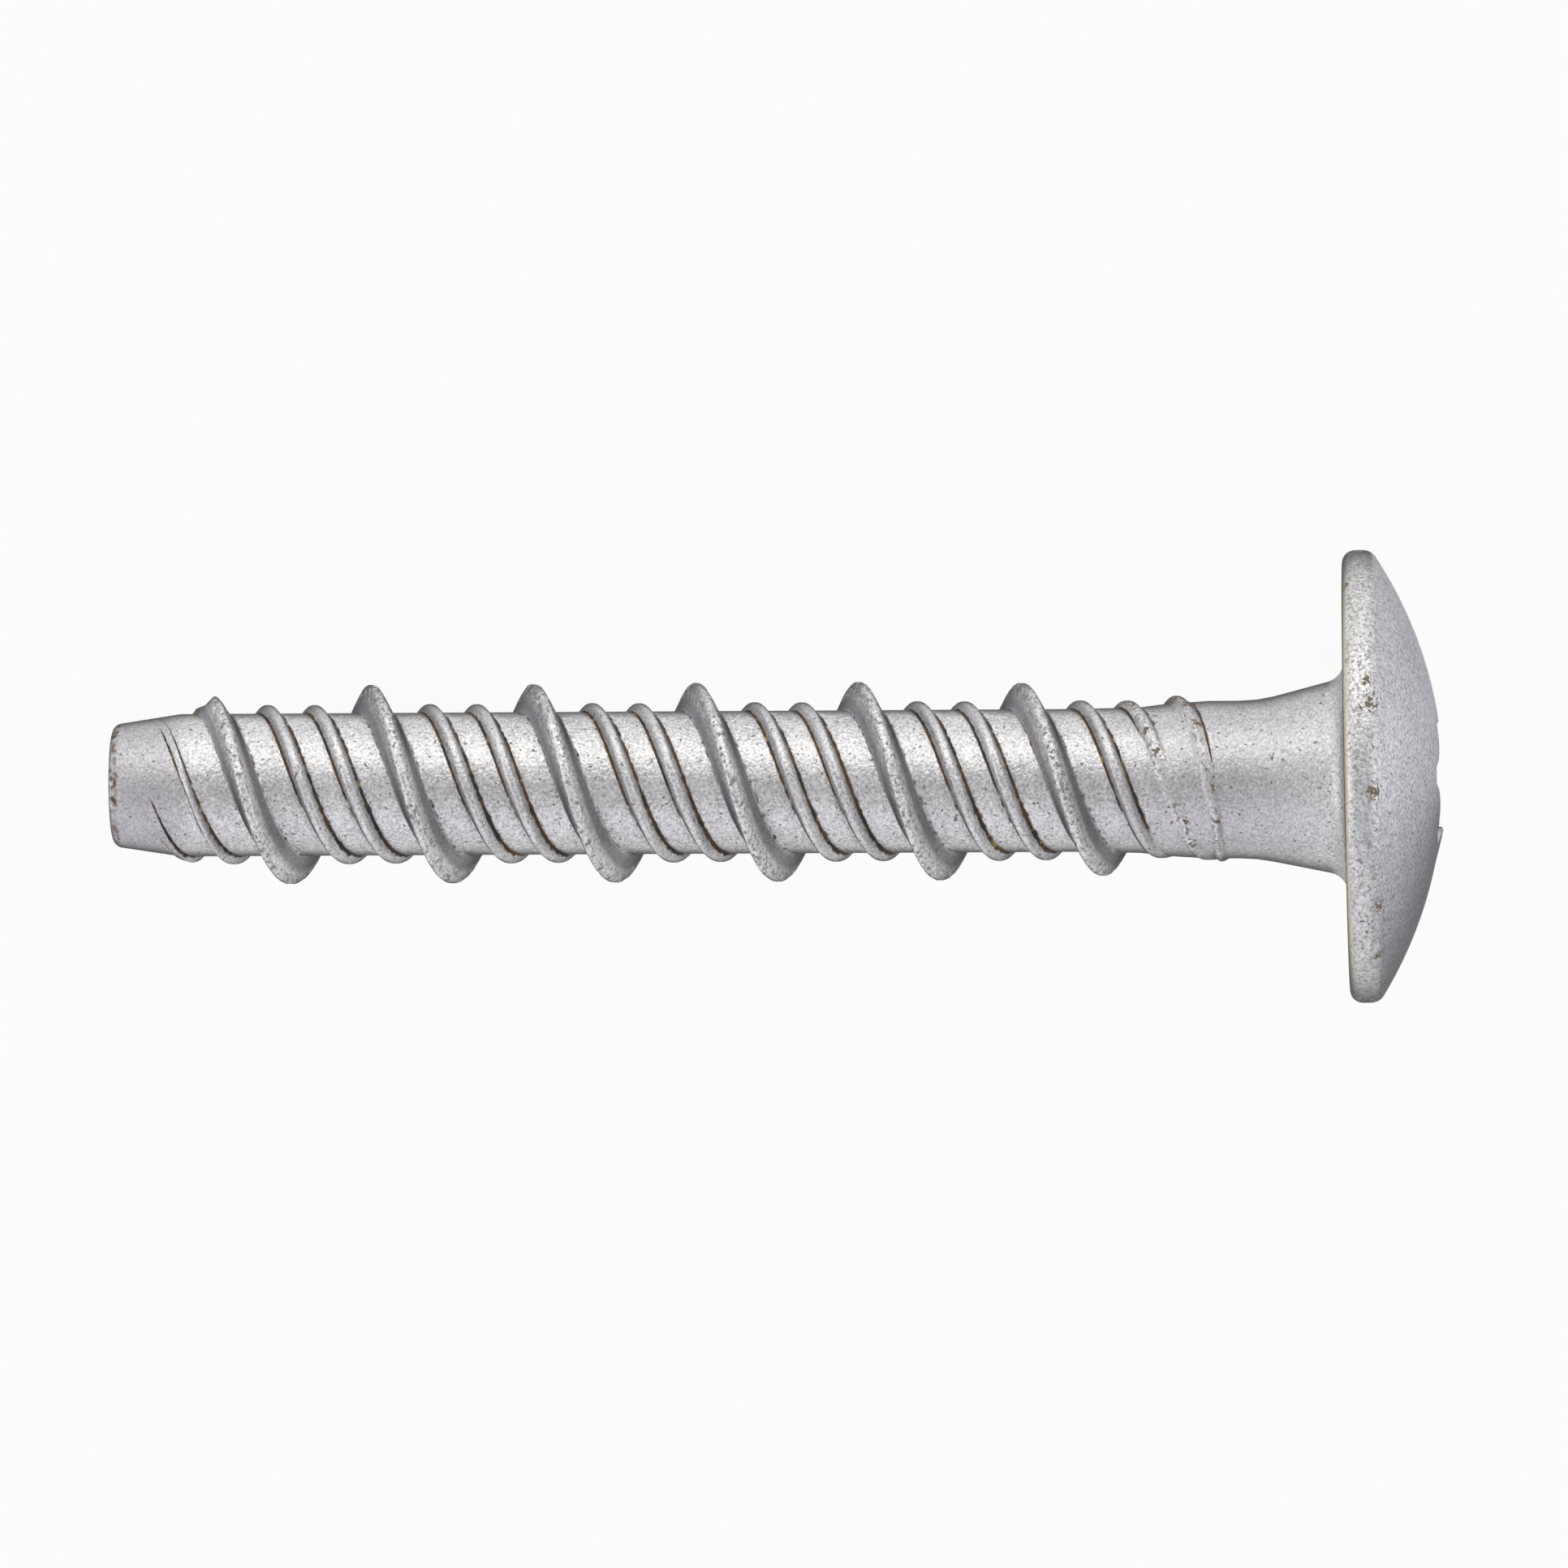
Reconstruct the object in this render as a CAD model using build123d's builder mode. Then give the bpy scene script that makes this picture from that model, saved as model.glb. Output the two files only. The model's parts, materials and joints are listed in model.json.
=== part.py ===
from build123d import *

import os
from math import cos, radians, sqrt, tan

# Concrete screw: a hardened steel screw with a wide domed head and a hexalobular recess,
# cold formed and thread rolled in one piece. Lengths are in millimetres.
# It is modelled upright, tip down, with the middle of its bearing face at the origin,
# and laid down at the end as it comes to rest on a table.

# Shank
length = 48.0  # from the bearing face to the tip
tip_diameter = 4.74
tip_taper = 2.65  # length of the blunt cone at the tip
tip_bevel = 0.25
core_diameter = 5.55  # between the threads
swell_start = 10.4  # below the bearing face, where the core begins to grow
swell_end = 5.3  # below the bearing face, where it has grown to the plain shank
shank_diameter = 6.2
flare_start = 3.44  # below the bearing face
flare_diameter = 7.8  # where the flared neck would meet the bearing face
flare_rounding = 6.0
neck_rounding = 0.55

# Head
head_diameter = 17.6
dome_height = 3.77
dome_radius = 15.94
under_bevel = 0.3  # edge between the bearing face and the rim
over_bevel = 0.2  # edge between the rim and the dome

# Recess, hexalobular size 30
recess_across_lobes = 5.6
recess_valley_radius = 1.19
recess_valley_circle = 6.38  # diameter on which the valley centres lie
recess_lobe_rounding = 0.42
recess_depth = 2.7
recess_point = 0.55  # depth of the blunt cone at its bottom
recess_point_diameter = 0.6  # of the cone's flat end
recess_lobes = 6

# Threads: one high ridge that cuts its groove in the wall of the hole, and two low ones
# that follow it, all right-handed and of one lead.
lead = 6.33
main_start = 2.18  # height above the tip at which the high ridge leaves the core
main_height = 1.1
main_root = 1.2
main_crest = 0.46
low_spacing = (2.28, 4.11)  # of the low ridges above the high one
low_height = 0.34
low_root = 0.62
low_crest = 0.26
foot_depth = 0.35  # how far a ridge reaches into the core
entry_height = 0.6  # above the tip, where the ridges begin inside the core

# The ridges grow out of the core inside a cone round the tip, given at two heights.
entry_low = (2.62, 1.7)  # (radius, height above the tip)
entry_high = (3.88, 5.0)

# Run-out: where it starts below the bearing face, how steeply the ridge sinks into the
# swelling core, and its stretches as (lead, turns), which turn ever flatter round the neck.
main_out_start = 11.0
main_out_slope = 6.9
main_out = ((6.33, 0.4), (5.6, 0.35), (4.4, 0.25), (2.2, 0.27))
low_out_start = 12.0
low_out_slope = 1.2
low_out = ((6.33, 0.75),)

core_radius = core_diameter / 2
tip_z = -length


def half_section():
    """Outline of the unthreaded blank on one side of its axis."""
    dome_centre = dome_height - dome_radius
    rim_top = dome_centre + sqrt(dome_radius**2 - (head_diameter / 2) ** 2)
    half_way = head_diameter / 4
    tip_corner = (tip_diameter / 2, tip_z)
    flare_corner = (shank_diameter / 2, -flare_start)
    neck_corner = (flare_diameter / 2, 0)
    bearing_corner = (head_diameter / 2, 0)
    dome_corner = (head_diameter / 2, rim_top)
    with BuildSketch(Plane.XZ) as half:
        with BuildLine():
            Polyline(
                (0, dome_height),
                (0, tip_z),
                tip_corner,
                (core_radius, tip_z + tip_taper),
                (core_radius, -swell_start),
                (shank_diameter / 2, -swell_end),
                flare_corner,
                neck_corner,
                bearing_corner,
                dome_corner,
            )
            ThreePointArc(
                dome_corner,
                (half_way, dome_centre + sqrt(dome_radius**2 - half_way**2)),
                (0, dome_height),
            )
        make_face()
        for corner, radius in ((flare_corner, flare_rounding), (neck_corner, neck_rounding)):
            fillet(half.vertices().sort_by_distance((*corner, 0))[0], radius)
        for corner, bevel in (
            (tip_corner, tip_bevel),
            (bearing_corner, under_bevel),
            (dome_corner, over_bevel),
        ):
            chamfer(half.vertices().sort_by_distance((*corner, 0))[0], bevel)
    return half.sketch


def ridge(spacing, height, root, crest, out_start, out_slope, out):
    """A thread ridge: its section swept up the helix on which it stands, and its run-out."""
    foot = root + (root - crest) * foot_depth / height
    straight = length - entry_height - out_start
    with BuildPart() as swept:
        with BuildLine() as path:
            Helix(lead, straight, core_radius)
            rise = straight
            turned = straight / lead
            for out_lead, turns in out:
                sunk = (rise - straight) * tan(radians(out_slope))
                stretch = Helix(
                    out_lead / cos(radians(out_slope)),
                    out_lead * turns,
                    core_radius - sunk,
                    cone_angle=-out_slope,
                    mode=Mode.PRIVATE,
                )
                add(stretch.moved(Location((0, 0, rise), (0, 0, 360 * turned))))
                rise += out_lead * turns
                turned += turns
        with BuildSketch(Plane(path.line @ 0, x_dir=(1, 0, 0), z_dir=path.line % 0)):
            with BuildLine():
                Polyline(
                    (height, crest / 2),
                    (-foot_depth, foot / 2),
                    (-foot_depth, -foot / 2),
                    (height, -crest / 2),
                    close=True,
                )
            make_face()
        sweep(path=path.line, is_frenet=True)
    start_turn = (entry_height - main_start - spacing) / lead
    inner_radius, inner_height = entry_low
    outer_radius, outer_height = entry_high
    slope = (outer_radius - inner_radius) / (outer_height - inner_height)
    clear_radius = head_diameter / 2
    with BuildPart() as grown:
        with Locations(Location((0, 0, tip_z + entry_height), (0, 0, 360 * start_turn))):
            add(swept.part)
        with BuildSketch(Plane.XZ):
            with BuildLine():
                Polyline(
                    (0, tip_z),
                    (inner_radius - slope * inner_height, tip_z),
                    (clear_radius, tip_z + inner_height + (clear_radius - inner_radius) / slope),
                    (clear_radius, 0),
                    (0, 0),
                    close=True,
                )
            make_face()
        revolve(axis=Axis.Z, mode=Mode.INTERSECT)
    return grown.part


main_ridge = ridge(
    0,
    main_height,
    main_root,
    main_crest,
    main_out_start,
    main_out_slope,
    main_out,
)
low_ridges = [
    ridge(
        spacing,
        low_height,
        low_root,
        low_crest,
        low_out_start,
        low_out_slope,
        low_out,
    )
    for spacing in low_spacing
]

with BuildPart() as upright:
    add(half_section())
    revolve(axis=Axis.Z)
    add(main_ridge)
    for low_ridge in low_ridges:
        add(low_ridge)
    with BuildSketch(Plane.XY.offset(dome_height)) as recess:
        Circle(recess_across_lobes / 2)
        with PolarLocations(recess_valley_circle / 2, recess_lobes, start_angle=180 / recess_lobes):
            Circle(recess_valley_radius, mode=Mode.SUBTRACT)
        fillet(recess.vertices(), recess_lobe_rounding)
    extrude(amount=-recess_depth, mode=Mode.SUBTRACT)
    with Locations((0, 0, dome_height - recess_depth)):
        Cone(
            bottom_radius=recess_point_diameter / 2,
            top_radius=recess_valley_circle / 2 - recess_valley_radius,
            height=recess_point,
            align=(Align.CENTER, Align.CENTER, Align.MAX),
            mode=Mode.SUBTRACT,
        )

# The screw lies on the edge of its rim and on its first full turn of thread, and it rolls
# until the thread's start is about to touch as well.
rest_inclination = 7.06  # of the axis, head up
rest_roll = 25.0  # angle round the axis, from the thread's start, that is undermost

lying = upright.part.rotate(Axis.Z, -rest_roll).rotate(Axis.Y, 90 - rest_inclination)
box = lying.bounding_box()
to_table = Location((-box.center().X, -box.center().Y, -box.min.Z))
with BuildPart() as concrete_screw:
    with Locations(to_table):
        add(lying)

concrete_screw.part.label = "concrete_screw"
os.makedirs("parts", exist_ok=True)
export_step(concrete_screw.part, "parts/concrete_screw.step")
print("middle of the bearing face", to_table.position)
print("box", concrete_screw.part.bounding_box())
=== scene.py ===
import itertools
import json
import math

import bpy
from mathutils import Matrix, Vector, noise


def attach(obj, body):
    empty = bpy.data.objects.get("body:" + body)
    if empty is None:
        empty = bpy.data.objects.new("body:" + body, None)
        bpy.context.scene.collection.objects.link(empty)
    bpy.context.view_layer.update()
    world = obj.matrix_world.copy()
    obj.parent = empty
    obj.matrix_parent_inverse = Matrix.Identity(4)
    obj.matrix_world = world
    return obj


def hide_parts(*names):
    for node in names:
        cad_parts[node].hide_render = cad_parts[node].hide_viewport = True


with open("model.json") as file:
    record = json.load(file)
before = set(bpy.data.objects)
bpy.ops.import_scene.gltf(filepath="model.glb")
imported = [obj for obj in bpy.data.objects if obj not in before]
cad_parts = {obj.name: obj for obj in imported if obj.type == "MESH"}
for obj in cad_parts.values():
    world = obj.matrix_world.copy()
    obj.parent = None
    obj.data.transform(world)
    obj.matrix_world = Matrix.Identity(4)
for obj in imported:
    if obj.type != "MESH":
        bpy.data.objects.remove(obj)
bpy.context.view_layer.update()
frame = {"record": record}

# The screw is modelled upright, tip down, in millimetres, with the middle of its bearing
# face at the origin, and is then laid down on the table, in metres, where the frame has it.
MM = 0.001
TURN = 2 * math.pi

# Blank
LENGTH = 48.0
TIP_END = 2.37  # radius of the end before its corner is rounded
TIP_TAPER = 2.65
TIP_ROUNDING = 0.38
CORE = 2.775
SHANK = 3.06
SWELL = ((-10.4, CORE), (-7.96, 2.83), (-7.0, 2.95), (-5.3, SHANK))  # (height, radius)
FLARE_START = -3.44
FLARE_END = 3.86
FLARE_ROUNDING = 6.0
NECK_ROUNDING = 0.85
HEAD = 8.785
DOME_HEIGHT = 3.77
DOME_RADIUS = 15.94
UNDER_ROUNDING = 0.5
OVER_ROUNDING = 0.6
LEAN = 0.014  # of the head's axis toward y, as a slope
HEAD_BEND = (-1.5, 0)  # heights over which the tilt of its faces passes into the neck
SHANK_SHIFT = -0.085  # of the shank along y, off the middle of the head
NECK_BEND = (-4, 0)  # heights over which the neck bends for the shift and the lean

# Recess, hexalobular size 30
LOBES = 6
LOBE_REACH = 2.8
VALLEY_CIRCLE = 3.19
VALLEY_RADIUS = 1.19
RECESS_DEPTH = 2.7
RECESS_POINT = ((1.2, 0.22), (0.3, 0.55))  # blunt cone, as (radius, depth below the floor)
RECESS_POINT_GAP = 0.1  # between the valleys and the cone
RECESS_EDGE = 0.07
RECESS_CORNER = 0.05  # between its wall and its floor
RECESS_APRON = 3.5  # radius of the first round ring outside it
BURR = (math.radians(-100), math.radians(15), 0.12)  # angle, half width and height

# Threads, with widths as half widths, (on the tip's side, on the head's) where they differ
LEAD = 6.33
MAIN_START = -45.82  # height of the high ridge where its turns are counted from
LOW_SPACING = (2.28, 4.11)  # of the low ridges above it
MAIN_CREST = 0.07
MAIN_ROOT = (0.60, 0.68)
LOW_CREST = 0.06
LOW_ROOT = (0.33, 0.33)
LOW_FULLNESS = 0.7  # how far the low ridges are arched
SHOULDER = 0.3  # how gently a crest turns into its sides
SIDE_STRAIGHT = 0.45  # share of a side's height that is straight, the rest running out softly
WEAR = 0.05  # deepest nick in the high ridge's crest
NICKS = 2.2  # how close together the nicks are, to a millimetre

# Radius that a ridge stays inside, by height above the tip, as it grows out of the core
MAIN_ENTRY = ((0, 2.3), (1.7, 2.62), (3.05, 2.78), (3.2, 3.0), (3.6, 3.1), (3.95, 3.46),
              (5.0, 3.88))
LOW_ENTRY = ((0, 2.3), (1.4, 2.5), (3.3, 3.11))

# Radius of each crest by turn
MAIN_REACH = ((0.1, 3.4), (0.25, 3.5), (0.5, 3.875), (4.6, 3.875), (5.25, 3.80), (5.75, 3.71),
              (6.0, 3.5), (6.25, 3.27), (6.4, 3.17), (6.5, 3.13), (6.75, 3.18), (6.9, 3.05))
LOW_REACH = (((5.2, 3.11), (5.6, 3.09), (5.78, 3.02), (5.9, 2.9)),
             ((5.2, 3.095), (5.42, 3.09), (5.53, 3.01), (5.75, 3.13), (5.9, 3.05)))
# How far the high ridge's run-out falls behind its lead, and how narrow it gets, by turn
MAIN_LAG = ((5.75, 0.0), (6.0, 0.09), (6.25, 0.28), (6.4, 0.44), (6.5, 0.63), (6.58, 0.88),
            (6.75, 1.75), (6.9, 2.0))
MAIN_WIDTH = ((5.75, 1.0), (6.25, 0.66), (6.5, 0.46), (6.75, 0.38))
LOW_WIDTH = ((-0.6, 0.5), (-0.3, 0.6), (0.2, 1.0))

# Lines along the feet of the low ridges
GROOVE_DEPTH = 0.03
LOW_FOOT = 0.36  # their offset from the crest
LOW_START = (-0.62, -0.8)  # turns where each ridge's lines begin and end
LOW_END = (5.55, 5.3)

# What the material reads from the mesh, each from 0 to 1. A passage is (start, end).
MARKS = (
    "crest", "flank", "land", "foot", "rim", "under", "corner", "dome", "shade", "spot"
)
MAIN_EDGE = (0.27, 0.39)  # passage from a crest to its side, by offset
LOW_EDGE = (0.24, 0.36)
FLANK = ((0.34, 0.44), (0.6, 0.7))  # band of painted shade on the head's side of the high ridge
LAND = ((0.3, 0.4), (0.54, 0.64))  # band of painted shade on its tip's side
FOOT_WIDTH = 0.08  # half width of a line at a foot
MAIN_FOOT = (0.5, 0.42)  # how dark the high ridge's feet are
LINE_PASSAGES = (0.25, 0.15)  # turns over which the low ridges' lines appear and vanish
LOW_END_WEAR = (0.0, 0.8)  # how rough the last stretch of each low ridge is
TOP_PAINTED_SHADE = 0.7  # how much painted shade darkens the high ridge on its upper side
# painted shade on the low ridges' upper side
LOW_TOP_PAINTED_SHADE = 0.45
TIP_DIRT = 0.45
RIM_WIDTH = 0.6  # how far in from the rim the head's spots reach

# Marks that grow along the screw, as (amount, height where they start and where they are full):
# the tip darker, and painted shade on the shank by the neck and on the neck
TIP_DULL = (0.6, -44.5, -46)
SHANK_PAINTED_SHADE = (0.45, -11.5, -5.5)
NECK_PAINTED_SHADE = (0.45, -0.4, -1.1)
# and along the high ridge's run-out, by turn
RUN_OUT_ROUGH = (0.7, 5.8, 6.0)
FOOT_DARKENS = (0.95, 6.0, 6.2)
FOOT_CLEARS = (0.7, 6.42, 6.5)

# Sides of the screw as the camera sees it, in degrees round its axis, where painted shade is set
# on the ridges' tops, the lines at their feet and the dome
TOP = 90
UPPER_FRONT = 125
LOWER_FRONT = 235
# side of the dome where painted shade darkens it
DOME_SHADE = 262

# Brown spots, as (height, degrees round the axis, size)
SPOTS = (
    (0.9, 155, 0.3), (1.05, 161, 0.45), (1.13, 184, 0.42), (1.25, 215, 0.3), (1.2, 232, 0.4),
    (0.1, 122, 0.35), (-6.18, 212, 0.22), (-5.95, 235, 0.22), (-4.95, 211, 0.2),
    (-5.08, 186, 0.15), (-8.1, 106, 0.45), (-7.65, 141, 0.3), (-7.3, 158, 0.25),
    (-6.55, 96, 0.45), (-6.15, 114, 0.35), (-5.75, 135, 0.3), (-44.7, 98, 0.3),
)

# Mesh
STEPS = 160  # round a turn
MAIN_ROWS = (0.0, 0.07, 0.14, 0.19, 0.24, 0.33, 0.43, 0.53, 0.60, 0.66, 0.72, 0.82)
LOW_ROWS = (0.0, 0.06, 0.115, 0.17, 0.23, 0.29, 0.335, 0.385, 0.44)
GAP_ROWS = 4
THREAD_TOP = -2.0  # where the wound thread is cut, before it is drawn down to the neck
NECK_DRAW = 1.9
NECK_DRAW_START = -6.0
SEAM = 0.002  # widest gap between two turns of the winding
SLIVER = 0.012  # shortest edge kept where the ends are cut
ARC_STEP = 12  # degrees between the rings of a rounding
TIP_RINGS = (1.7, 1.1, 0.5)  # radii on the tip's end
BEARING_RINGS = (5.4, 6.4, 7.4)
DOME_RINGS = 14
MOUTH_RINGS = (0.6, 0.3)  # shares of the way from the recess to its apron
WALL_RINGS = (2.6, 1.8)  # heights on the recess's wall
SHARP_EDGE = 50  # degrees


def eased(value, start, end):
    """0 before start and 1 after end, with a soft passage."""
    share = min(max((value - start) / (end - start), 0.0), 1.0)
    return share * share * (3 - 2 * share)


def grown(value, amount, start, end):
    """Nothing before start and the whole amount after end, whichever of them is larger."""
    return amount * eased(value, start, end)


def band(value, rise, fall):
    """1 from the end of one passage to the start of the next, and 0 outside them."""
    return eased(value, *rise) * (1 - eased(value, *fall))


def between(value, stops):
    """The amount at value on a line through (place, amount) stops, level beyond them."""
    if value <= stops[0][0]:
        return stops[0][1]
    for (low, first), (high, last) in zip(stops, stops[1:]):
        if value <= high:
            return first + (last - first) * (value - low) / (high - low)
    return stops[-1][1]


def blank_radius(z):
    """Radius of the threaded length without its ridges."""
    return between(z, ((-LENGTH, TIP_END), (-LENGTH + TIP_TAPER, CORE), *SWELL))


def wave(angle, peak):
    """1 on the side of the screw at peak degrees, 0 on the other."""
    return 0.5 + 0.5 * math.cos(angle - math.radians(peak))


def round_off(angle, degrees):
    """How far an angle is from one given in degrees, either way round."""
    return abs(math.remainder(angle - math.radians(degrees), TURN))


def line(offset, centre, half_width):
    """1 round the centre, falling to 0 a half width away."""
    return min(1.5 * max(1 - abs(offset - centre) / half_width, 0.0), 1.0)


def ridge_height(offset, crest, root, height, fullness):
    """Height of a ridge at an offset across it: with plain sides, or arched by fullness."""
    share = max((abs(offset) - crest) / (root[offset > 0] - crest), 0.0)
    if share >= 1:
        return 0.0
    turned = (math.hypot(share, SHOULDER) - SHOULDER) / (math.hypot(1, SHOULDER) - SHOULDER)
    side = 1 - SIDE_STRAIGHT * turned - (1 - SIDE_STRAIGHT) * eased(share, 0, 1)
    return height * (side + fullness * (1 - share**2 - side))


def rounded_outline(corners):
    """Points of an outline through (radius, height, rounding) corners, ends left out."""
    outline = []
    for before, here, after in zip(corners, corners[1:], corners[2:]):
        corner = Vector(here[:2])
        rounding = here[2]
        back = (Vector(before[:2]) - corner).normalized()
        on = (Vector(after[:2]) - corner).normalized()
        half = back.angle(on) / 2
        centre = corner + (back + on).normalized() * rounding / math.sin(half)
        reach = rounding / math.tan(half)
        start = corner + back * reach - centre
        end = corner + on * reach - centre
        pieces = max(2, round(math.degrees(math.pi - 2 * half) / ARC_STEP))
        outline += [
            centre + start.slerp(end, step / pieces) * rounding for step in range(pieces + 1)
        ]
    return outline


def thread_rows():
    """Heights of the rows over one lead, close together on the ridges and sparse between."""
    rows = [-offset for offset in MAIN_ROWS[:0:-1]] + list(MAIN_ROWS)
    for spacing in (*LOW_SPACING, LEAD):
        near = LOW_ROWS if spacing < LEAD else MAIN_ROWS
        gap = spacing - near[-1] - rows[-1]
        rows += [rows[-1] + gap * step / (GAP_ROWS + 1) for step in range(1, GAP_ROWS + 1)]
        rows += [spacing - offset for offset in near[::-1]]
        rows += [spacing + offset for offset in near[1:]]
    return [row for row in rows if row <= LEAD - MAIN_ROWS[-1] + 1e-6]


def select_open_edge(piece, at_tip):
    """Selects the ring of open edges at one end, in edit mode."""
    bpy.ops.mesh.select_mode(type="EDGE")
    bpy.ops.mesh.select_all(action="DESELECT")
    bpy.ops.mesh.select_non_manifold()
    bpy.ops.object.mode_set(mode="OBJECT")
    vertices = piece.data.vertices
    for vertex in vertices:
        vertex.select &= (vertex.co.z < -LENGTH / 2) == at_tip
    for edge in piece.data.edges:
        edge.select &= all(vertices[corner].select for corner in edge.vertices)
    bpy.ops.object.mode_set(mode="EDIT")


def place_ring(piece, ring):
    """Puts the selected vertices at the (radius, height) that ring gives for their angle."""
    bpy.ops.object.mode_set(mode="OBJECT")
    for vertex in piece.data.vertices:
        if vertex.select:
            angle = math.atan2(vertex.co.y, vertex.co.x)
            radius, height = ring(angle)
            vertex.co = (radius * math.cos(angle), radius * math.sin(angle), height)
    bpy.ops.object.mode_set(mode="EDIT")


def grow_rings(piece, rings):
    """Extrudes the selected ring through each of the rings."""
    for ring in rings:
        bpy.ops.mesh.extrude_region_move()
        place_ring(piece, ring)


def round_rings(outline):
    """Round rings through the (radius, height) points of an outline."""
    return [lambda angle, point=tuple(point): point for point in outline]


def wind_thread():
    """A line one lead high, wound round the axis past both ends of the threaded length."""
    bpy.ops.object.select_all(action="DESELECT")
    bpy.ops.mesh.primitive_plane_add(size=LEAD)
    piece = bpy.context.object
    for vertex in piece.data.vertices:
        vertex.select = vertex.co.x < 0
    for edge in piece.data.edges:
        edge.select = False
    for face in piece.data.polygons:
        face.select = False
    bpy.ops.object.mode_set(mode="EDIT")
    bpy.ops.mesh.select_mode(type="VERT")
    bpy.ops.mesh.delete(type="VERT")
    bpy.ops.mesh.select_all(action="SELECT")
    rows = thread_rows()
    bpy.ops.mesh.subdivide(number_cuts=len(rows) - 2)
    bpy.ops.object.mode_set(mode="OBJECT")
    foot = MAIN_START - LEAD * (math.ceil((LENGTH + MAIN_START) / LEAD) + 1)
    for vertex, row in zip(sorted(piece.data.vertices, key=lambda v: v.co.y), rows):
        vertex.co = (CORE, 0, foot + row)
    winding = piece.modifiers.new("winding", "SCREW")
    winding.screw_offset = LEAD
    winding.iterations = math.ceil((THREAD_TOP - foot) / LEAD) + 1
    winding.steps = STEPS
    winding.render_steps = STEPS
    bpy.ops.object.modifier_apply(modifier=winding.name)
    bpy.ops.object.mode_set(mode="EDIT")
    bpy.ops.mesh.select_all(action="SELECT")
    bpy.ops.mesh.remove_doubles(threshold=SEAM)
    bpy.ops.mesh.bisect(
        plane_co=(0, 0, -LENGTH + TIP_ROUNDING), plane_no=(0, 0, 1), clear_inner=True
    )
    bpy.ops.mesh.select_all(action="SELECT")
    bpy.ops.mesh.bisect(plane_co=(0, 0, THREAD_TOP), plane_no=(0, 0, 1), clear_outer=True)
    bpy.ops.mesh.select_all(action="SELECT")
    bpy.ops.mesh.remove_doubles(threshold=SLIVER)
    bpy.ops.object.mode_set(mode="OBJECT")
    return piece


def nearest_crest(z, angle, start):
    """Turns from a ridge's start to its crest nearest a height, and the height above that."""
    turns = (z - start) / LEAD - angle / TURN
    whole = round(turns)
    return whole + angle / TURN, (turns - whole) * LEAD


def follow_run_out(z, turn, offset):
    """Where a row goes as the top of the thread is drawn down to the neck: near the high
    ridge it keeps to the ridge's run-out, and on the low ridges it goes down with the rest."""
    drawn = NECK_DRAW * eased(z, NECK_DRAW_START, THREAD_TOP)
    crest_drawn = NECK_DRAW * eased(z - offset, NECK_DRAW_START, THREAD_TOP)
    if offset > 0:
        free = LOW_SPACING[0] - LOW_ROWS[-1]
    else:
        free = LEAD - LOW_SPACING[1] - LOW_ROWS[-1]
    grip = max(1 - abs(offset) / free, 0)
    return z - drawn - (between(turn, MAIN_LAG) - crest_drawn) * grip


def high_ridge(place, angle, turn, crest_z):
    """How far the high ridge stands out of the blank at a place, and its marks there."""
    blank = blank_radius(place.z)
    reach = between(turn, MAIN_REACH) - blank
    offset = (place.z - crest_z + between(turn, MAIN_LAG)) / between(turn, MAIN_WIDTH)
    crest = 1 - eased(abs(offset), *MAIN_EDGE)
    raised = ridge_height(offset, MAIN_CREST, MAIN_ROOT, reach, 0)
    raised = min(raised, between(place.z + LENGTH, MAIN_ENTRY) - blank)
    raised -= WEAR * crest * max(noise.noise(place * NICKS), 0)

    entered = between(crest_z + LENGTH, MAIN_ENTRY) - blank
    present = eased(reach, 0.0, 0.4) * eased(entered, 0.1, 0.5)
    dark = grown(turn, *FOOT_DARKENS) * (1 - grown(turn, *FOOT_CLEARS))
    head_side = line(offset, MAIN_ROOT[1], 0.1 + 0.04 * dark) * max(MAIN_FOOT[1] * present, dark)
    # the tip's side line only on the upper front: painted shade over the rust
    tip_side = line(-offset, MAIN_ROOT[0], FOOT_WIDTH) * wave(angle, UPPER_FRONT)
    return raised, {
        "crest": crest * max(present, grown(turn, *RUN_OUT_ROUGH)),
        # painted shade: the flank on the head's side of the ridge and the land on its tip's side
        # are set darker, and the crest on its upper side too
        "flank": present * band(offset, *FLANK),
        "land": max(present * band(-offset, *LAND), TOP_PAINTED_SHADE * crest * wave(angle, TOP)**3),
        "foot": max(head_side, MAIN_FOOT[0] * present * tip_side),
    }


def low_ridge(z, angle, spacing, crest_radius, start, end, end_wear):
    """How far a low ridge stands out of the blank, the lines at its feet, and its marks."""
    blank = blank_radius(z)
    turn, offset = nearest_crest(z, angle, MAIN_START + spacing)
    offset /= between(turn, LOW_WIDTH)
    reach = between(turn, crest_radius) - blank
    raised = ridge_height(offset, LOW_CREST, LOW_ROOT, reach, LOW_FULLNESS)
    raised = min(raised, between(z + LENGTH, LOW_ENTRY) - blank)

    body = 1 - eased(abs(offset), *LOW_EDGE)
    below = wave(angle, LOWER_FRONT)
    # the lines are rust, set stronger and wider toward the lower and upper front as painted shade
    head_side = line(offset, LOW_FOOT, FOOT_WIDTH + 0.035 * below) * (0.55 + 0.4 * below)
    tip_side = line(-offset, LOW_FOOT, FOOT_WIDTH) * min(1.3 * wave(angle, UPPER_FRONT)**2, 1)
    appear, vanish = LINE_PASSAGES
    lined = band(turn, (start, start + appear), (end, end + vanish))
    cut = line(abs(offset), LOW_FOOT, FOOT_WIDTH) * lined
    return raised, cut, {
        "crest": end_wear * body * eased(turn, end - 0.2, end),
        # painted shade on the ridge's upper side
        "land": LOW_TOP_PAINTED_SHADE * body * wave(angle, TOP)**3,
        "foot": max(head_side, tip_side) * lined,
    }


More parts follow.
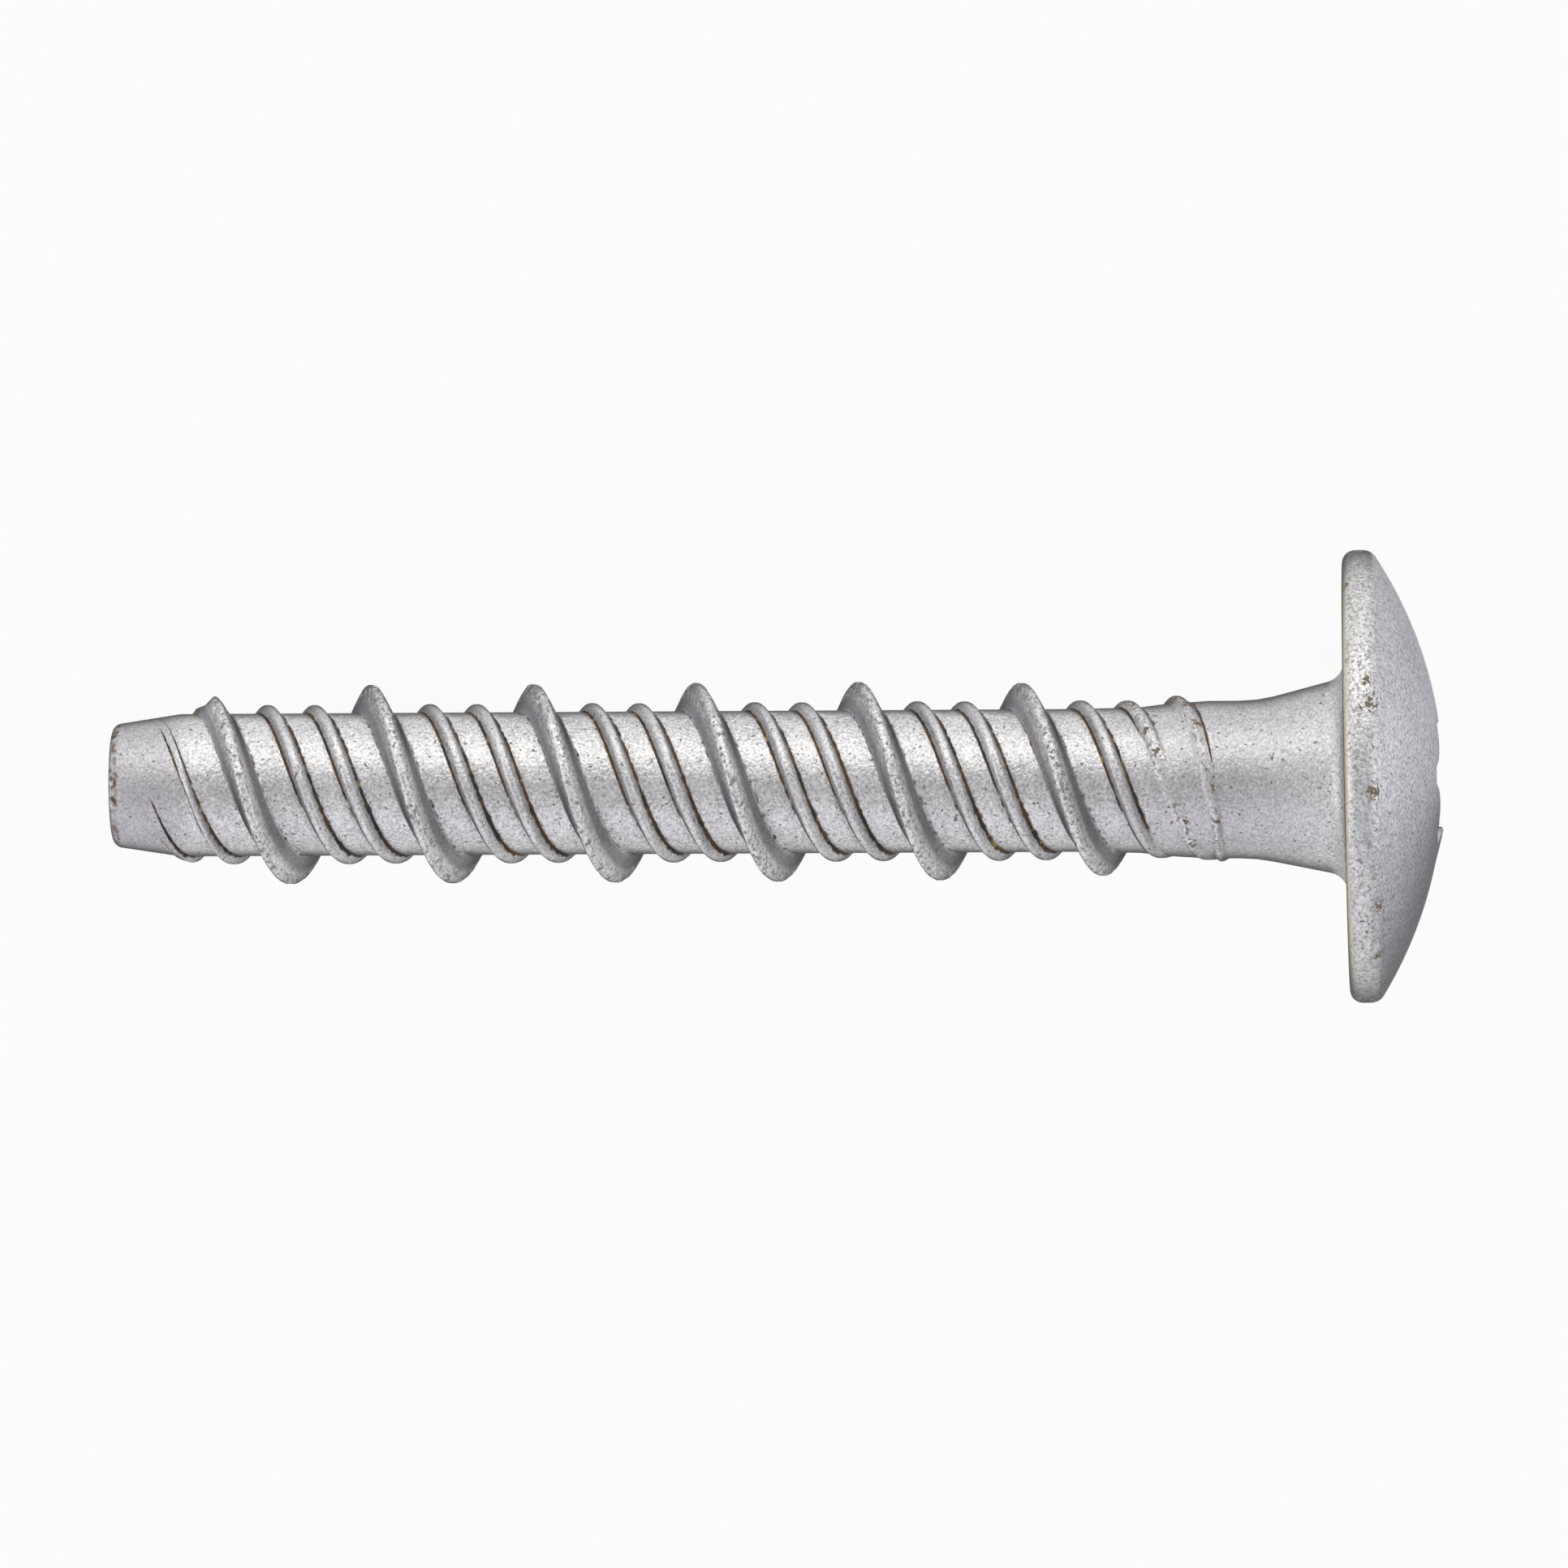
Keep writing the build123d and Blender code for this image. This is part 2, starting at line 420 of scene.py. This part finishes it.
def shape_thread(piece):
    """Raises the ridges out of the core, and marks their crests, flanks and feet."""
    amounts = {name: [] for name in MARKS}
    for vertex in piece.data.vertices:
        x, y, z = vertex.co
        angle = math.atan2(y, x)
        turn, offset = nearest_crest(z, angle, MAIN_START)
        crest_z = z - offset
        z = follow_run_out(z, turn, offset)
        raised, marks = high_ridge(Vector((x, y, z)), angle, turn, crest_z)
        cut = 0.0
        for low in zip(LOW_SPACING, LOW_REACH, LOW_START, LOW_END, LOW_END_WEAR):
            low_raised, low_cut, low_marks = low_ridge(z, angle, *low)
            raised = max(raised, low_raised)
            cut = max(cut, low_cut)
            for name, amount in low_marks.items():
                marks[name] = max(marks[name], amount)
        # darker toward the tip, and painted shade on the shank by the neck
        marks["land"] = max(marks["land"], grown(z, *TIP_DULL), grown(z, *SHANK_PAINTED_SHADE))
        radius = blank_radius(z) + max(raised, 0) - GROOVE_DEPTH * cut
        vertex.co = (radius * math.cos(angle), radius * math.sin(angle), z)
        for name, amount in marks.items():
            amounts[name].append(amount)
    for name in MARKS:
        layer = piece.data.attributes.new(name, "FLOAT", "POINT")
        if amounts[name]:
            layer.data.foreach_set("value", amounts[name])


def close_tip(piece):
    """The rounded corner and the flat end."""
    outline = rounded_outline([
        (CORE, -LENGTH + TIP_TAPER, 0), (TIP_END, -LENGTH, TIP_ROUNDING), (0, -LENGTH, 0)
    ])
    outline += [(radius, -LENGTH) for radius in TIP_RINGS]
    bpy.ops.object.mode_set(mode="EDIT")
    select_open_edge(piece, at_tip=True)
    place_ring(piece, lambda angle: tuple(outline[0]))
    grow_rings(piece, round_rings(outline[1:]))
    bpy.ops.mesh.merge(type="CENTER")
    bpy.ops.object.mode_set(mode="OBJECT")


def recess_radius(angle):
    """Distance from the axis to the recess wall at an angle."""
    pitch = TURN / LOBES
    from_valley = angle % pitch - pitch / 2
    side = VALLEY_CIRCLE * math.sin(from_valley)
    if abs(side) >= VALLEY_RADIUS:
        return LOBE_REACH
    wall = VALLEY_CIRCLE * math.cos(from_valley) - math.sqrt(VALLEY_RADIUS**2 - side**2)
    return min(wall, LOBE_REACH)


def dome_height(radius):
    """Height of the dome at a distance from the axis."""
    return DOME_HEIGHT - DOME_RADIUS + math.sqrt(DOME_RADIUS**2 - radius**2)


def grow_head(piece):
    """The neck, the bearing face, the rim and the dome, and the recess with its cone."""
    rim_top = dome_height(HEAD)
    rim_slope = HEAD / math.sqrt(DOME_RADIUS**2 - HEAD**2)
    outline = rounded_outline([
        (SHANK, THREAD_TOP - NECK_DRAW, 0),
        (SHANK, FLARE_START, FLARE_ROUNDING),
        (FLARE_END, 0, NECK_ROUNDING),
        (HEAD, 0, UNDER_ROUNDING),
        (HEAD, rim_top, OVER_ROUNDING),
        (HEAD - 1, rim_top + rim_slope, 0),  # on up the dome
    ])
    flat_start = next(i for i, point in enumerate(outline) if point.y > -1e-6)
    bearing = [Vector((radius, 0)) for radius in BEARING_RINGS]
    outline[flat_start + 1:flat_start + 1] = bearing
    dome_edge = outline[-1].x
    for ring in range(1, DOME_RINGS + 1):
        radius = dome_edge + (RECESS_APRON - dome_edge) * ring / DOME_RINGS
        outline.append((radius, dome_height(radius)))
    rings = round_rings(outline)

    def mouth(out, down):
        """A ring some share of the way out from the recess to its apron, set down a little."""
        def ring(angle):
            wall = recess_radius(angle)
            radius = wall + (RECESS_APRON - wall) * out
            burr = BURR[2] * (1 - out) * (1 - eased(abs(angle - BURR[0]), 0, BURR[1]))
            return radius, dome_height(radius) - down + burr
        return ring

    rings += [mouth(out, 0) for out in (*MOUTH_RINGS, RECESS_EDGE)]
    rings.append(mouth(0, RECESS_EDGE))
    floor = DOME_HEIGHT - RECESS_DEPTH
    for height in (*WALL_RINGS, floor + RECESS_CORNER):
        rings.append(lambda angle, height=height: (recess_radius(angle), height))
    rings.append(lambda angle: (recess_radius(angle) - RECESS_CORNER, floor))
    rings += round_rings([(VALLEY_CIRCLE - VALLEY_RADIUS - RECESS_POINT_GAP, floor)])
    rings += round_rings([(radius, floor - depth) for radius, depth in RECESS_POINT])
    bpy.ops.object.mode_set(mode="EDIT")
    select_open_edge(piece, at_tip=False)
    place_ring(piece, lambda angle: (SHANK, THREAD_TOP - NECK_DRAW))
    grow_rings(piece, rings)
    bpy.ops.mesh.merge(type="CENTER")
    bpy.ops.mesh.select_all(action="SELECT")
    bpy.ops.mesh.normals_make_consistent(inside=False)
    bpy.ops.object.mode_set(mode="OBJECT")


def head_marks(radius, angle, z):
    """The marks of the neck and the head at a place."""
    rim_top = dome_height(HEAD)
    return {
        "crest": 0.0,
        "flank": 0.0,
        "foot": 0.0,
        # painted shade on the neck
        "land": grown(z, *NECK_PAINTED_SHADE),
        # painted shade in the corner between the neck and the bearing face
        "corner": band(z, (-0.7, -0.3), (0.2, 0.3)) * (1 - eased(radius, 4.6, 5.8)),
        # painted reflection: cream on the rounding under the rim
        "under": eased(radius, 7.2, 8.4) * (1 - eased(z, 0.06, 0.24)),
        "rim": eased(radius, HEAD - 0.4, HEAD - 0.2) * eased(z, 0.1, 0.3),
        "dome": eased(z, rim_top - 0.02, rim_top + 0.12),
        # painted shade on the dome's lower side
        "shade": eased(wave(angle, DOME_SHADE), 0.45, 1.0),
    }


def finish_ends(piece):
    """Sets the head askew on the shank, and marks it, the edge of the tip and the spots."""
    layers = {name: piece.data.attributes[name].data for name in MARKS}
    for index, vertex in enumerate(piece.data.vertices):
        x, y, z = vertex.co
        radius = math.hypot(x, y)
        angle = math.atan2(y, x)
        marks = {"spot": 0.0}
        for height, degrees, size in SPOTS:
            if abs(z - height) < size and (height < 0 or radius > HEAD - RIM_WIDTH):
                away = math.hypot(z - height, radius * round_off(angle, degrees))
                marks["spot"] = max(marks["spot"], line(away, 0, size))
        vertex.co.y += SHANK_SHIFT * (1 - eased(z, *NECK_BEND))
        if z < TIP_ROUNDING - LENGTH:
            marks["foot"] = TIP_DIRT * eased(z, -LENGTH - 0.01, -LENGTH + 0.05)
        if z >= THREAD_TOP - NECK_DRAW:
            marks.update(head_marks(radius, angle, z))
            vertex.co.y += LEAN * z * eased(z, *NECK_BEND)
            vertex.co.z -= LEAN * y * eased(z, *HEAD_BEND)
        for name, amount in marks.items():
            layers[name][index].value = amount


class Value:
    """A socket of a material's nodes that takes part in arithmetic."""

    def __init__(self, tree, output):
        self.tree = tree
        self.output = output

    def node(self, kind, settings, inputs, output=0):
        """An output of a new node, with its settings by name and inputs by name or number."""
        made = self.tree.nodes.new(kind)
        for name, setting in settings.items():
            setattr(made, name, setting)
        self.feed(made, inputs)
        return Value(self.tree, made.outputs[output])

    def feed(self, node, inputs):
        """Links or sets a node's inputs."""
        for key, value in inputs.items():
            if isinstance(value, Value):
                self.tree.links.new(value.output, node.inputs[key])
            else:
                node.inputs[key].default_value = value

    def math(self, operation, *values):
        """The result of a Math node."""
        return self.node("ShaderNodeMath", {"operation": operation}, dict(enumerate(values)))

    def __add__(self, other):
        return self.math("ADD", self, other)

    def __sub__(self, other):
        return self.math("SUBTRACT", self, other)

    def __rsub__(self, other):
        return self.math("SUBTRACT", other, self)

    def __mul__(self, other):
        return self.math("MULTIPLY", self, other)

    __radd__ = __add__
    __rmul__ = __mul__

    def over(self, low, high):
        """0 below low and 1 above high, with a soft passage; low may be the larger."""
        return self.node(
            "ShaderNodeMapRange",
            {"interpolation_type": "SMOOTHSTEP"},
            {"Value": self, "From Min": low, "From Max": high},
        )

    def mix(self, first, second):
        """From the first colour where this is 0 to the second where it is 1."""
        return self.node("ShaderNodeMix", {"data_type": "RGBA"}, {0: self, 6: first, 7: second}, 2)


def grey(level, red=0.0, blue=0.0):
    """A grey with a little more or less red and blue."""
    return (level + red, level, level + blue, 1)


# Paint: its colours where its tone is dark and where it is light, and the paints laid over it,
# as (mark, share, colours)
PAINT = (grey(0.46, 0, 0.004), grey(0.94))
PAINT_ON = (
    ("rim", 0.6, (grey(0.41), grey(0.82))),
    # painted highlight: lighter paint on the crests, under their real pits, nicks and worn ends
    ("crest", 0.8, (grey(0.48), grey(0.98))),
    ("dome", 0.9, (grey(0.39, 0.004, 0.045), grey(0.85, 0.004, 0.055))),
    # painted shade, with a little added roughness: the ridges' tip sides and upper sides, the
    # shank by the neck, the neck, and a darker tip
    ("land", 0.85, (grey(0.27, 0.01, 0.03), grey(0.46, 0.01, 0.03))),
    # painted shade on the head's side of the high ridge
    ("flank", 0.85, (grey(0.20, 0.002, 0.01), grey(0.40, 0.002, 0.01))),
)
# painted shade in the corner between the neck and the bearing face
PAINTED_CORNER_SHADE = grey(0.42, 0.01, 0.035)
# painted reflection: cream on the rounding under the rim
UNDER_HEAD_PAINTED_REFLECTION = (0.62, 0.55, 0.40, 1)
# painted shade: colour laid where the surface turns away from the camera
PAINTED_GLANCING_SHADE = grey(0.1, 0.002, 0.004)  # where the surface turns away
SPECK = grey(0.12, 0.006, -0.004)
BRIGHT = grey(0.97, 0.0, -0.01)
PIT = grey(0.14, 0.02, -0.02)
# dark of the rust lines at the feet, partly painted shade, and of the dirt at the tip's edge
DIRT_AND_PAINTED_SHADE = grey(0.03, 0.004, -0.004)
RUST = (0.12, 0.06, 0.02, 1)
BROWN = (0.15, 0.105, 0.06, 1)
ORANGE = (0.55, 0.36, 0.12, 1)
BUMP_DISTANCE = 0.035 * MM

# Floor
FLOOR_SIZE = 40  # metres
FLOOR_GLOW = 0.92  # how much of what is seen of it is its own white, the rest being lit


def start_material(name):
    """A new material, its shader and a first value in its nodes."""
    material = bpy.data.materials.new(name)
    material.use_nodes = True
    tree = material.node_tree
    place = tree.nodes.new("ShaderNodeTexCoord").outputs["Object"]
    return material, tree.nodes["Principled BSDF"], Value(tree, place)


def zinc_flake():
    """Dull silver zinc flake paint with specks, pitted crests and rust along the feet, with
    painted shade, highlights and reflection laid over it in places.
    """
    material, shader, place = start_material("zinc_flake")
    shifts = itertools.count()
    marks = {
        name: place.node("ShaderNodeAttribute", {"attribute_name": name}, {}, "Fac")
        for name in MARKS
    }
    crest, flank, land, foot, rim, under, corner, dome, shade, spot = marks.values()

    def grain(size, detail=2.0):
        """Noise with grains of a size in millimetres, each call with a pattern of its own."""
        return place.node(
            "ShaderNodeTexNoise",
            {"noise_dimensions": "4D"},
            {"Vector": place, "W": next(shifts), "Scale": 1 / (size * MM), "Detail": detail},
        )

    fine = grain(0.11)
    blotch = grain(0.3)
    patch = grain(2.5)
    specks = grain(0.17, 1).over(0.665, 0.725)
    bright = (crest * 0.9 + rim * 0.35) * grain(0.14).over(0.54, 0.62)
    pits = (crest + rim * 0.65) * grain(0.18).over(0.55, 0.635)
    # rust along the feet, partly painted shade in the roots, and dirt at the tip's edge
    dirt_and_painted_shade = (foot + foot.over(0, 0.3) * (grain(0.3) - 0.5) * 1.3).over(0.3, 0.7)
    rust = grain(1.1, 3).over(0.42, 0.54)
    orange = foot.over(0.6, 0.9) * grain(0.3).over(0.56, 0.64) * grain(3.0, 1).over(0.52, 0.6)
    brown = (spot + (grain(0.13) - 0.5) * 3.5).over(0.55, 0.85) * spot.over(0, 0.2)

    # Painted shade: darker where the surface turns away from the camera, but for the dome and the
    # corner, and darker on the dome's lower side
    facing = place.node("ShaderNodeLayerWeight", {}, {"Blend": 0.5}, "Facing")
    grazing = facing.over(0.48, 0.92)
    painted_shade = grazing * (1 - dome - corner) * 0.84 + dome * shade * (grazing * 0.4 + 0.3)
    plain = 1 - (land + flank) * 0.4
    tone = 0.5 + (fine - 0.5) * plain * 2.6 + (blotch - 0.5) * plain * 0.6 + (patch - 0.5) * 0.3

    colour = tone.mix(*PAINT)
    for name, share, paint in PAINT_ON:
        colour = (marks[name] * share).mix(colour, tone.mix(*paint))
    # painted shade in the corner between the neck and the bearing face
    colour = (corner * 0.3).mix(colour, PAINTED_CORNER_SHADE)
    # painted reflection: cream on the rounding under the rim
    colour = (under * 0.8).mix(colour, UNDER_HEAD_PAINTED_REFLECTION)
    # painted shade toward the edges the camera sees, and on the dome's lower side
    colour = painted_shade.mix(colour, PAINTED_GLANCING_SHADE)
    colour = (specks * 0.8).mix(colour, SPECK)
    colour = (bright * 0.75).mix(colour, BRIGHT)
    colour = (pits * 0.7).mix(colour, PIT)
    colour = (dirt_and_painted_shade * 0.95).mix(colour, rust.mix(DIRT_AND_PAINTED_SHADE, RUST))
    colour = (brown * 0.85).mix(colour, BROWN)
    colour = orange.mix(colour, ORANGE)

    dull = (dirt_and_painted_shade + brown + specks * 0.5 + pits * 0.6).over(0, 1)
    height = (fine - 0.5) * plain + (blotch - 0.5) * plain * 0.6 - pits * 0.5 - specks * 0.3
    bump = place.node(
        "ShaderNodeBump", {}, {"Strength": 1.0, "Distance": BUMP_DISTANCE, "Height": height}
    )
    place.feed(shader, {
        "Base Color": colour,
        "Metallic": 0.88 - dull * 0.7,
        "Roughness": 0.46 + dull * 0.3 + land * 0.06,
        "Specular Tint": grey(0.25),
        "Normal": bump,
    })
    return material


def pale_floor():
    """White to the camera and in reflections, but for the shadow."""
    material, shader, place = start_material("pale_floor")
    place.feed(shader, {"Base Color": grey(0.9), "Roughness": 0.8})
    camera_ray, glossy_ray, transmission_ray = [
        place.node("ShaderNodeLightPath", {}, {}, f"Is {kind} Ray")
        for kind in ("Camera", "Glossy", "Transmission")
    ]
    seen = camera_ray + glossy_ray + transmission_ray
    glow = place.node("ShaderNodeEmission", {}, {"Color": grey(1.0), "Strength": 1.0})
    lit = Value(place.tree, shader.outputs[0])
    shown = place.node("ShaderNodeMixShader", {}, {0: seen * FLOOR_GLOW, 1: lit, 2: glow})
    place.feed(material.node_tree.nodes["Material Output"], {"Surface": shown})
    return material


# How the screw lies: its axis and bearing face come from the frame, and it is turned round
# its axis so that this angle, from the thread's start, is undermost.
ROLL = math.radians(25.0)
mounts = {mount["name"]: mount for mount in frame["record"]["mounts"]}
axis = -Vector(mounts["thread"]["axis"]).normalized()
tip = Vector(mounts["thread"]["pos_m"])
across = Vector((0, 1, 0))
upright_to_lying = Matrix((across.cross(axis), across, axis)).transposed().to_4x4()
lying = (
    Matrix.Translation(tip + axis * LENGTH * MM)
    @ upright_to_lying
    @ Matrix.Rotation(-ROLL, 4, "Z")
    @ Matrix.Scale(MM, 4)
)

screw = wind_thread()
screw.name = "screw"
shape_thread(screw)
close_tip(screw)
grow_head(screw)
finish_ends(screw)
screw.matrix_world = lying
bpy.ops.object.transform_apply(location=True, rotation=True, scale=True)
bpy.ops.object.shade_smooth_by_angle(angle=math.radians(SHARP_EDGE))
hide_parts("concrete_screw")
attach(screw, "root")
screw.data.materials.clear()
screw.data.materials.append(zinc_flake())

bpy.ops.mesh.primitive_plane_add(size=FLOOR_SIZE)
floor = bpy.context.object
floor.name = "floor"
floor.data.materials.append(pale_floor())

# Camera, square to the screw's axis but for a small turn toward the dome
VIEW_DISTANCE = 0.533
VIEW_SPAN = 60.96 * MM  # width seen at that distance
VIEW_TURN = math.radians(2.94)
VIEW_ROLL = math.radians(0.31)
AIM = Vector((0, -0.162, -21.835)) * MM  # from the middle of the bearing face

screw_turn = lying.to_3x3().normalized()
up = screw_turn @ Vector((0, 1, 0))
right, toward = [
    screw_turn @ Matrix.Rotation(VIEW_TURN, 3, "Y") @ Vector(direction)
    for direction in ((0, 0, 1), (-1, 0, 0))
]
level = Matrix((right, up, toward)).transposed()
aim = lying.translation + screw_turn @ AIM
camera_data = bpy.data.cameras.new("camera")
camera_data.lens = camera_data.sensor_width * VIEW_DISTANCE / VIEW_SPAN
camera = bpy.data.objects.new("camera", camera_data)
bpy.context.scene.collection.objects.link(camera)
camera.matrix_world = (
    Matrix.Translation(aim + toward * VIEW_DISTANCE)
    @ level.to_4x4()
    @ Matrix.Rotation(-VIEW_ROLL, 4, "Z")
)
bpy.context.scene.camera = camera

# Light
WORLD_COLOUR = (0.435, 0.43, 0.445, 1)
LAMP_DISTANCE = 0.8
SIDE_TURN = math.radians(80)  # of the lamps at the sides, from the camera

world = bpy.data.worlds.new("studio")
bpy.context.scene.world = world
world.use_nodes = True
world.node_tree.nodes["Background"].inputs["Color"].default_value = WORLD_COLOUR
bpy.context.scene.view_settings.view_transform = "Standard"


def softbox(name, direction, size, power, colour=(1, 1, 1)):
    """A lamp of some width and height, off the aim in a direction and facing it."""
    lamp = bpy.data.lights.new(name, "AREA")
    lamp.shape = "RECTANGLE"
    lamp.size, lamp.size_y = size
    lamp.energy = power
    lamp.color = colour
    box = bpy.data.objects.new(name, lamp)
    bpy.context.scene.collection.objects.link(box)
    place = Matrix.Translation(aim + direction.normalized() * LAMP_DISTANCE)
    box.matrix_world = place @ direction.to_track_quat("Z", "Y").to_matrix().to_4x4()


def around(degrees):
    """A direction round the aim, from the camera toward the top of its view."""
    return toward * math.cos(math.radians(degrees)) + up * math.sin(math.radians(degrees))


softbox("key", around(50), (1.5, 0.55), 4.4, (1, 0.98, 0.95))
softbox("fill", around(-68) - right * 0.2, (1.0, 1.1), 2.2, (0.96, 0.94, 1))
for name, side, power in (("tip_side", -right, 2.4), ("head_side", right, 1.6)):
    direction = toward * math.cos(SIDE_TURN) + side * math.sin(SIDE_TURN)
    softbox(name, direction, (0.5, 0.8), power)
